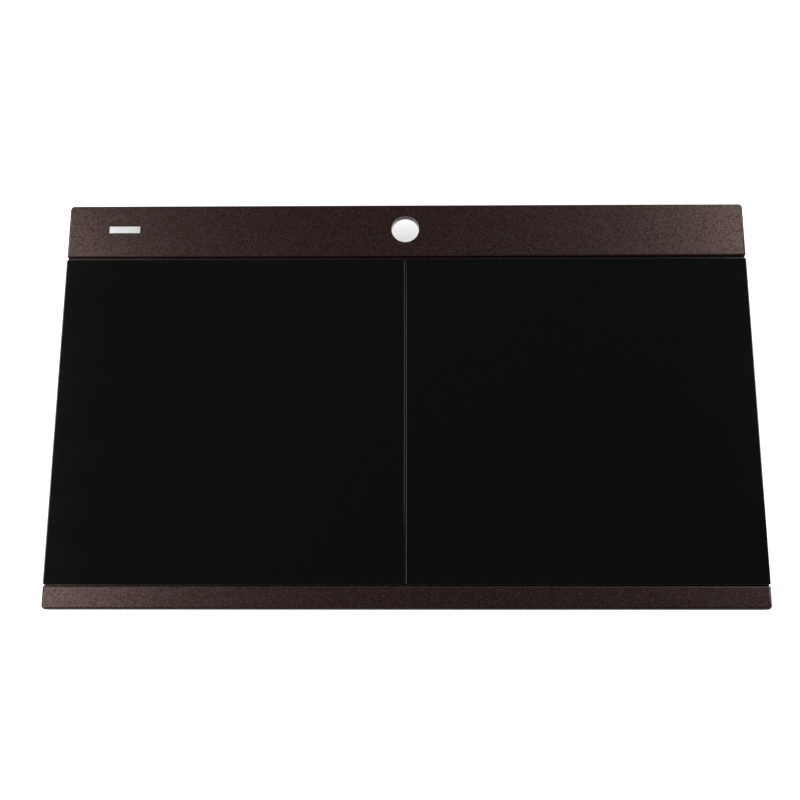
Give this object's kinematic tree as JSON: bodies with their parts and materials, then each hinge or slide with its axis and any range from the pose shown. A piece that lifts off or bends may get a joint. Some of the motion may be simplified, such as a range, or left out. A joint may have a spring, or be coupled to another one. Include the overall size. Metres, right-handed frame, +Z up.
{
  "type": "double bowl composite sink",
  "caption": "Inset composite kitchen sink with equal side-by-side bowls, black glass covers sliding in a recessed channel, a rear tap deck, basket strainers and turning clips.",
  "frame": {"origin": "centre of the rim's underside, on the plane where the sink rests on its worktop, midway between its ends and between its front and rear edges", "axes": "+X to the right along the sink, +Y to the rear deck with its tap hole, +Z up out of the worktop"},
  "size_m": [0.86, 0.51, 0.3733],
  "materials": {
    "composite": "satin, fine mineral speckle",
    "black_glass": "polished, opaque black",
    "silicone": "matt",
    "badge_metal": "satin, blank",
    "seal_foam": "matt closed-cell strip",
    "strainer_steel": "brushed",
    "basket_steel": "brushed",
    "knob_steel": "polished",
    "black_rubber": "matt",
    "fibre": "matt",
    "locknut_zinc": "cast zinc",
    "tube_chrome": "plated",
    "nut_chrome": "plated",
    "nylon": "natural nylon",
    "clip_zinc": "die cast",
    "screw_steel": "zinc plated",
    "insert_brass": "turned"
  },
  "bodies": {
    "sink": {"sink_body": "composite", "rim_seal": "seal_foam", "badge_plate": "badge_metal", "clip_screws": "screw_steel", "clip_inserts": "insert_brass", "left_strainer": "strainer_steel", "left_seat_gasket": "black_rubber", "left_rubber_washer": "black_rubber", "left_fibre_washer": "fibre", "left_locknut": "locknut_zinc", "left_tailpiece": "tube_chrome", "left_tailpiece_washer": "nylon", "left_coupling_nut": "nut_chrome", "right_strainer": "strainer_steel", "right_seat_gasket": "black_rubber", "right_rubber_washer": "black_rubber", "right_fibre_washer": "fibre", "right_locknut": "locknut_zinc", "right_tailpiece": "tube_chrome", "right_tailpiece_washer": "nylon", "right_coupling_nut": "nut_chrome"},
    "left_cover": {"left_glass_cover": "black_glass", "left_cover_pads": "silicone"},
    "right_cover": {"right_glass_cover": "black_glass", "right_cover_pads": "silicone"},
    "left_drain_basket": {"left_basket": "basket_steel", "left_basket_knob": "knob_steel", "left_basket_stopper": "black_rubber"},
    "right_drain_basket": {"right_basket": "basket_steel", "right_basket_knob": "knob_steel", "right_basket_stopper": "black_rubber"},
    "turning_clip_1": {"clip_1": "clip_zinc"},
    "turning_clip_2": {"clip_2": "clip_zinc"},
    "turning_clip_3": {"clip_3": "clip_zinc"},
    "turning_clip_4": {"clip_4": "clip_zinc"},
    "turning_clip_5": {"clip_5": "clip_zinc"},
    "turning_clip_6": {"clip_6": "clip_zinc"},
    "turning_clip_7": {"clip_7": "clip_zinc"},
    "turning_clip_8": {"clip_8": "clip_zinc"}
  },
  "joints": [
    {"name": "left_cover_slide", "type": "slide", "parent": "sink", "child": "left_cover", "axis": [-1, 0, 0], "range_m": [0, 0.205]},
    {"name": "right_cover_slide", "type": "slide", "parent": "sink", "child": "right_cover", "axis": [1, 0, 0], "range_m": [0, 0.205]},
    {"name": "left_basket_lift", "type": "slide", "parent": "sink", "child": "left_drain_basket", "axis": [0, 0, 1], "range_m": [0, 0.06]},
    {"name": "right_basket_lift", "type": "slide", "parent": "sink", "child": "right_drain_basket", "axis": [0, 0, 1], "range_m": [0, 0.06]},
    {"name": "clip_1_turn", "type": "hinge", "parent": "sink", "child": "turning_clip_1", "pos_m": [-0.325, -0.23, -0.04], "axis": [0, 0, 1], "range_deg": [0, 90]},
    {"name": "clip_2_turn", "type": "hinge", "parent": "sink", "child": "turning_clip_2", "pos_m": [-0.115, -0.23, -0.04], "axis": [0, 0, 1], "range_deg": [0, 90]},
    {"name": "clip_3_turn", "type": "hinge", "parent": "sink", "child": "turning_clip_3", "pos_m": [0.115, -0.23, -0.04], "axis": [0, 0, -1], "range_deg": [0, 90]},
    {"name": "clip_4_turn", "type": "hinge", "parent": "sink", "child": "turning_clip_4", "pos_m": [0.325, -0.23, -0.04], "axis": [0, 0, -1], "range_deg": [0, 90]},
    {"name": "clip_5_turn", "type": "hinge", "parent": "sink", "child": "turning_clip_5", "pos_m": [-0.325, 0.23, -0.04], "axis": [0, 0, -1], "range_deg": [0, 90]},
    {"name": "clip_6_turn", "type": "hinge", "parent": "sink", "child": "turning_clip_6", "pos_m": [-0.115, 0.23, -0.04], "axis": [0, 0, -1], "range_deg": [0, 90]},
    {"name": "clip_7_turn", "type": "hinge", "parent": "sink", "child": "turning_clip_7", "pos_m": [0.115, 0.23, -0.04], "axis": [0, 0, 1], "range_deg": [0, 90]},
    {"name": "clip_8_turn", "type": "hinge", "parent": "sink", "child": "turning_clip_8", "pos_m": [0.325, 0.23, -0.04], "axis": [0, 0, 1], "range_deg": [0, 90]}
  ]
}
